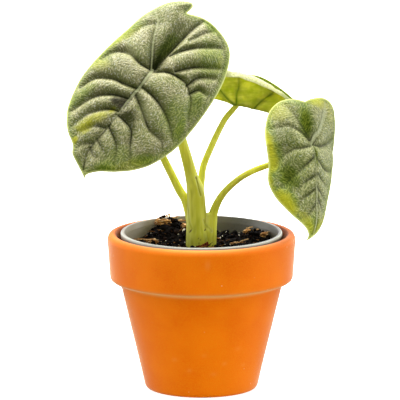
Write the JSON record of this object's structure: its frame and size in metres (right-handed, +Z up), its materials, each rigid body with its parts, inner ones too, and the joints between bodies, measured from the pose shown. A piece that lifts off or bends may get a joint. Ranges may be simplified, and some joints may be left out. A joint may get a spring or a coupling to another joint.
{
  "type": "potted alocasia",
  "caption": "Potted alocasia with quilted shield-shaped leaves on long stalks, in a plastic grower's pot inside a round terracotta pot.",
  "frame": {"origin": "middle of the terracotta pot's base, on the surface that it stands on", "axes": "+Z up along the pot's axis, +X to the right and +Y to the back as the largest leaf's upper face is looked at"},
  "size_m": [0.1995, 0.1406, 0.2874],
  "materials": {
    "terracotta": "matte",
    "grower_pot": "matte",
    "potting_mix": "matte",
    "stalk": "satin",
    "leaf": "matte",
    "dry_sheath": "matte",
    "bark": "matte"
  },
  "bodies": {
    "root": {"terracotta_pot": "terracotta", "grower_pot": "grower_pot", "potting_soil": "potting_mix", "stalk_large": "stalk", "stalk_middle": "stalk", "stalk_right": "stalk", "stalk_rear": "stalk", "dry_sheath": "dry_sheath", "blade_large": "leaf", "blade_middle": "leaf", "blade_right": "leaf", "blade_rear": "leaf", "bark_chip_1": "bark", "bark_chip_2": "bark", "bark_chip_3": "bark", "bark_chip_4": "bark", "bark_chip_5": "bark", "bark_chip_6": "bark", "bark_chip_7": "bark", "bark_chip_8": "bark", "bark_chip_9": "bark"}
  },
  "joints": []
}
